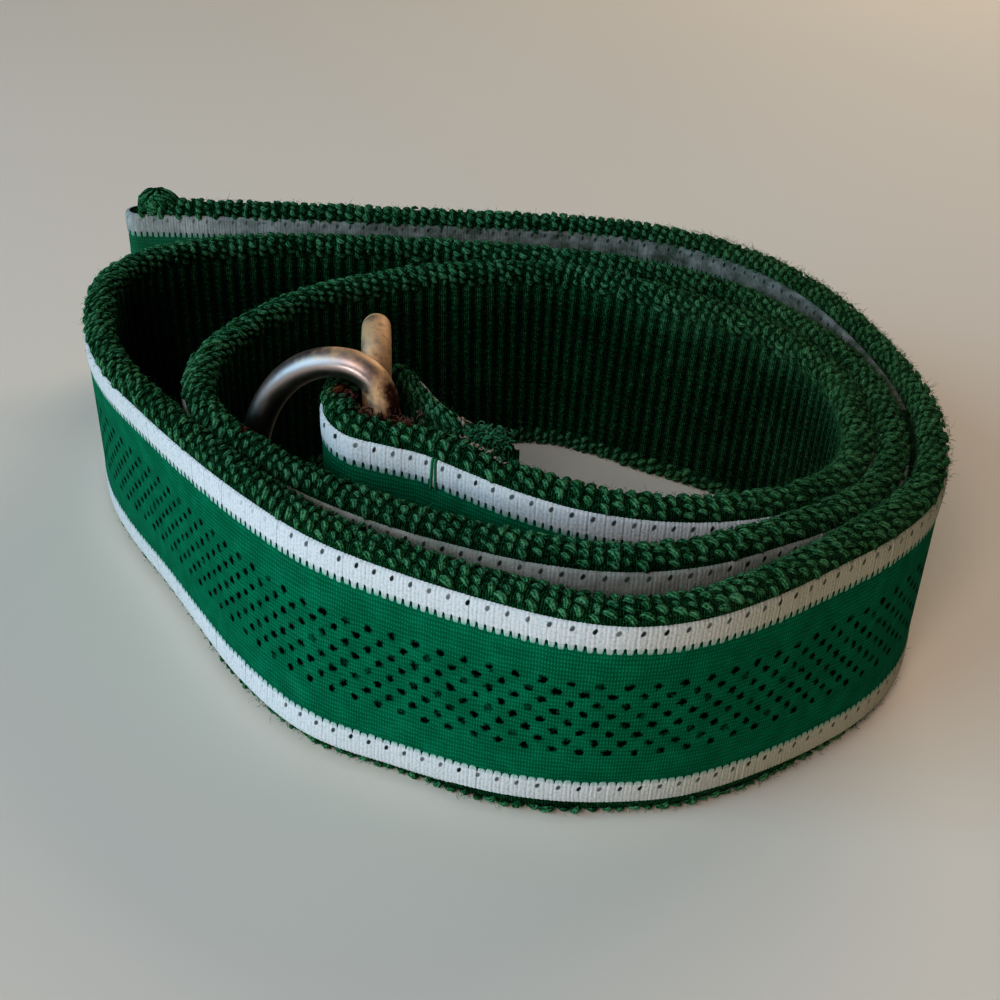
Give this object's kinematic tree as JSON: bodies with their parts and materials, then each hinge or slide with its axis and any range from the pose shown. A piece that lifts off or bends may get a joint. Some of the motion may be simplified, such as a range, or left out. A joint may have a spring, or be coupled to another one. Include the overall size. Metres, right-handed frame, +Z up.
{
  "type": "d-ring web belt",
  "caption": "Thick woven strap belt with an openwork knitted ribbon on its face, coiled on edge, its folded end holding loose D-rings.",
  "frame": {"origin": "on the ground under the middle of the coiled belt's outline", "axes": "+Z up from the ground along the strap's width, +X to the right along the coil's longest side, +Y away from the pictured side"},
  "size_m": [0.129, 0.115, 0.0429],
  "materials": {
    "webbing": "fuzzy dark green heavy woven webbing, matte",
    "ribbon": "openwork green knit with white borders, matte, worn and stained in places",
    "ring_metal": "smooth plated steel wire, tarnished, with rust where it meets the strap"
  },
  "bodies": {
    "belt": {"webbing": "webbing", "ribbon": "ribbon"},
    "left_ring": {"d_ring_left": "ring_metal"},
    "rear_ring": {"d_ring_rear": "ring_metal"}
  },
  "joints": [
    {"name": "left_ring_swing", "type": "hinge", "parent": "belt", "child": "left_ring", "pos_m": [-0.01088, -0.0228, 0.02145], "axis": [0, 0, 1], "range_deg": [-8, 2]},
    {"name": "rear_ring_swing", "type": "hinge", "parent": "belt", "child": "rear_ring", "pos_m": [-0.01228, -0.0184, 0.02145], "axis": [0, 0, 1], "range_deg": [-88, 35]}
  ]
}
